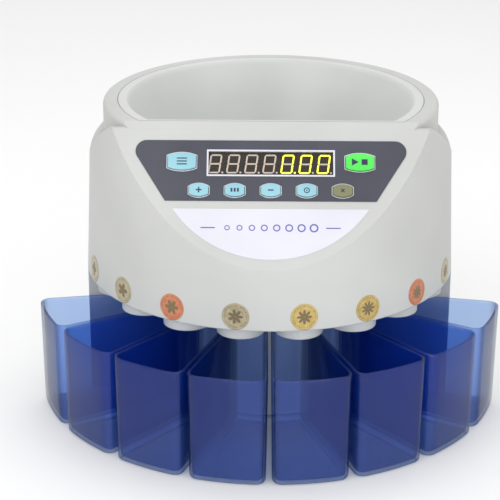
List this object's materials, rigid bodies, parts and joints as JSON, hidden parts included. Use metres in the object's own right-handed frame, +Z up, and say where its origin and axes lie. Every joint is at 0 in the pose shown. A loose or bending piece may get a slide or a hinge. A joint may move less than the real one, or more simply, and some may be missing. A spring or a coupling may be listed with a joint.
{
  "type": "coin sorting machine",
  "caption": "Round countertop coin sorter: open hopper bowl and rotating disc above drop chutes, sloping keypad console with digit display, clear blue pull-out wedge bins round the front.",
  "frame": {"origin": "on the table plane, under the axis of the sorting disc, at the middle of the centre foot", "axes": "+Z up, -Y towards the user (console and bins), +X to the user's right"},
  "size_m": [0.3454, 0.3357, 0.231],
  "materials": {
    "housing_plastic": "moulded ABS, fine matt",
    "bin_plastic": "clear blue polystyrene",
    "overlay_film": "printed film",
    "window_lens": "smoked lens",
    "white_trim": "satin white",
    "key_blue": "satin",
    "key_green": "satin",
    "key_olive": "satin",
    "coin_print": "printed gold and copper",
    "disc_metal": "turned",
    "steel": "plain",
    "pulley_plastic": "natural acetal",
    "bracket_metal": "pressed",
    "rubber": "matt black",
    "black_plastic": "moulded black",
    "pin_metal": "plated",
    "circuit_board": "green solder mask",
    "display_module": "dark face",
    "supply_case": "perforated cage"
  },
  "bodies": {
    "root": {"base_plate": "housing_plastic", "centre_column": "housing_plastic", "rear_shell": "housing_plastic", "spout_deck": "housing_plastic", "coin_chutes": "housing_plastic", "upper_housing": "housing_plastic", "hopper": "housing_plastic", "rear_panel": "housing_plastic", "keypad_overlay": "overlay_film", "display_window": "window_lens", "window_bezel": "white_trim", "name_label": "white_trim", "coin_labels": "coin_print", "sorting_track": "disc_metal", "track_ring": "disc_metal", "lower_bearing": "steel", "upper_bearing": "steel", "base_screws": "steel", "drive_motor": "steel", "supply_bracket": "steel", "serial_port": "steel", "motor_bracket": "bracket_metal", "rubber_feet": "rubber", "drive_belt": "rubber", "iec_inlet": "black_plastic", "switch_frame": "black_plastic", "fuse_holder": "black_plastic", "tact_switches": "black_plastic", "coin_sensors": "black_plastic", "buzzer": "black_plastic", "inlet_pins": "pin_metal", "board_standoffs": "pin_metal", "display_board": "circuit_board", "main_board": "circuit_board", "digit_modules": "display_module", "power_supply": "supply_case"},
    "rotor": {"sorting_disc": "disc_metal", "disc_cap": "disc_metal", "drive_shaft": "steel", "disc_pulley": "pulley_plastic"},
    "motor_rotor": {"motor_pulley": "pulley_plastic"},
    "bin_1": {"bin_1": "bin_plastic"},
    "bin_2": {"bin_2": "bin_plastic"},
    "bin_3": {"bin_3": "bin_plastic"},
    "bin_4": {"bin_4": "bin_plastic"},
    "bin_5": {"bin_5": "bin_plastic"},
    "bin_6": {"bin_6": "bin_plastic"},
    "bin_7": {"bin_7": "bin_plastic"},
    "bin_8": {"bin_8": "bin_plastic"},
    "report_key": {"report_key": "key_blue"},
    "start_stop_key": {"start_stop_key": "key_green"},
    "plus_key": {"plus_key": "key_blue"},
    "batch_key": {"batch_key": "key_blue"},
    "minus_key": {"minus_key": "key_blue"},
    "set_key": {"set_key": "key_blue"},
    "clear_key": {"clear_key": "key_olive"},
    "power_rocker": {"power_rocker": "black_plastic"}
  },
  "joints": [
    {"name": "bin_1_pull", "type": "slide", "parent": "root", "child": "bin_1", "axis": [-0.9365, -0.3506, 0], "range_m": [0, 0.11]},
    {"name": "bin_2_pull", "type": "slide", "parent": "root", "child": "bin_2", "axis": [-0.7618, -0.6478, 0], "range_m": [0, 0.11]},
    {"name": "bin_3_pull", "type": "slide", "parent": "root", "child": "bin_3", "axis": [-0.4966, -0.868, 0], "range_m": [0, 0.11]},
    {"name": "bin_4_pull", "type": "slide", "parent": "root", "child": "bin_4", "axis": [-0.1724, -0.985, 0], "range_m": [0, 0.11]},
    {"name": "bin_5_pull", "type": "slide", "parent": "root", "child": "bin_5", "axis": [0.1724, -0.985, 0], "range_m": [0, 0.11]},
    {"name": "bin_6_pull", "type": "slide", "parent": "root", "child": "bin_6", "axis": [0.4966, -0.868, 0], "range_m": [0, 0.11]},
    {"name": "bin_7_pull", "type": "slide", "parent": "root", "child": "bin_7", "axis": [0.7618, -0.6478, 0], "range_m": [0, 0.11]},
    {"name": "bin_8_pull", "type": "slide", "parent": "root", "child": "bin_8", "axis": [0.9365, -0.3506, 0], "range_m": [0, 0.11]},
    {"name": "report_key_press", "type": "slide", "parent": "root", "child": "report_key", "axis": [0, 0.7859, -0.6184], "range_m": [0, 0.001], "stiffness_N_per_m": 600, "springref_m": -0.0015},
    {"name": "start_stop_key_press", "type": "slide", "parent": "root", "child": "start_stop_key", "axis": [0, 0.7859, -0.6184], "range_m": [0, 0.001], "stiffness_N_per_m": 600, "springref_m": -0.0015},
    {"name": "plus_key_press", "type": "slide", "parent": "root", "child": "plus_key", "axis": [0, 0.7859, -0.6184], "range_m": [0, 0.001], "stiffness_N_per_m": 600, "springref_m": -0.0015},
    {"name": "batch_key_press", "type": "slide", "parent": "root", "child": "batch_key", "axis": [0, 0.7859, -0.6184], "range_m": [0, 0.001], "stiffness_N_per_m": 600, "springref_m": -0.0015},
    {"name": "minus_key_press", "type": "slide", "parent": "root", "child": "minus_key", "axis": [0, 0.7859, -0.6184], "range_m": [0, 0.001], "stiffness_N_per_m": 600, "springref_m": -0.0015},
    {"name": "set_key_press", "type": "slide", "parent": "root", "child": "set_key", "axis": [0, 0.7859, -0.6184], "range_m": [0, 0.001], "stiffness_N_per_m": 600, "springref_m": -0.0015},
    {"name": "clear_key_press", "type": "slide", "parent": "root", "child": "clear_key", "axis": [0, 0.7859, -0.6184], "range_m": [0, 0.001], "stiffness_N_per_m": 600, "springref_m": -0.0015},
    {"name": "disc_spin", "type": "hinge", "parent": "root", "child": "rotor", "pos_m": [0, 0, 0.145], "axis": [0, 0, 1], "continuous": true},
    {"name": "motor_spin", "type": "hinge", "parent": "root", "child": "motor_rotor", "pos_m": [0, 0.046, 0.09], "axis": [0, 0, 1], "continuous": true},
    {"name": "rocker_tilt", "type": "hinge", "parent": "root", "child": "power_rocker", "pos_m": [0.001, 0.1505, 0.043], "axis": [1, 0, 0], "range_deg": [-7, 7]}
  ],
  "couplings": [
    {"joint": "motor_spin", "follows": "disc_spin", "ratio": 3.3333}
  ]
}
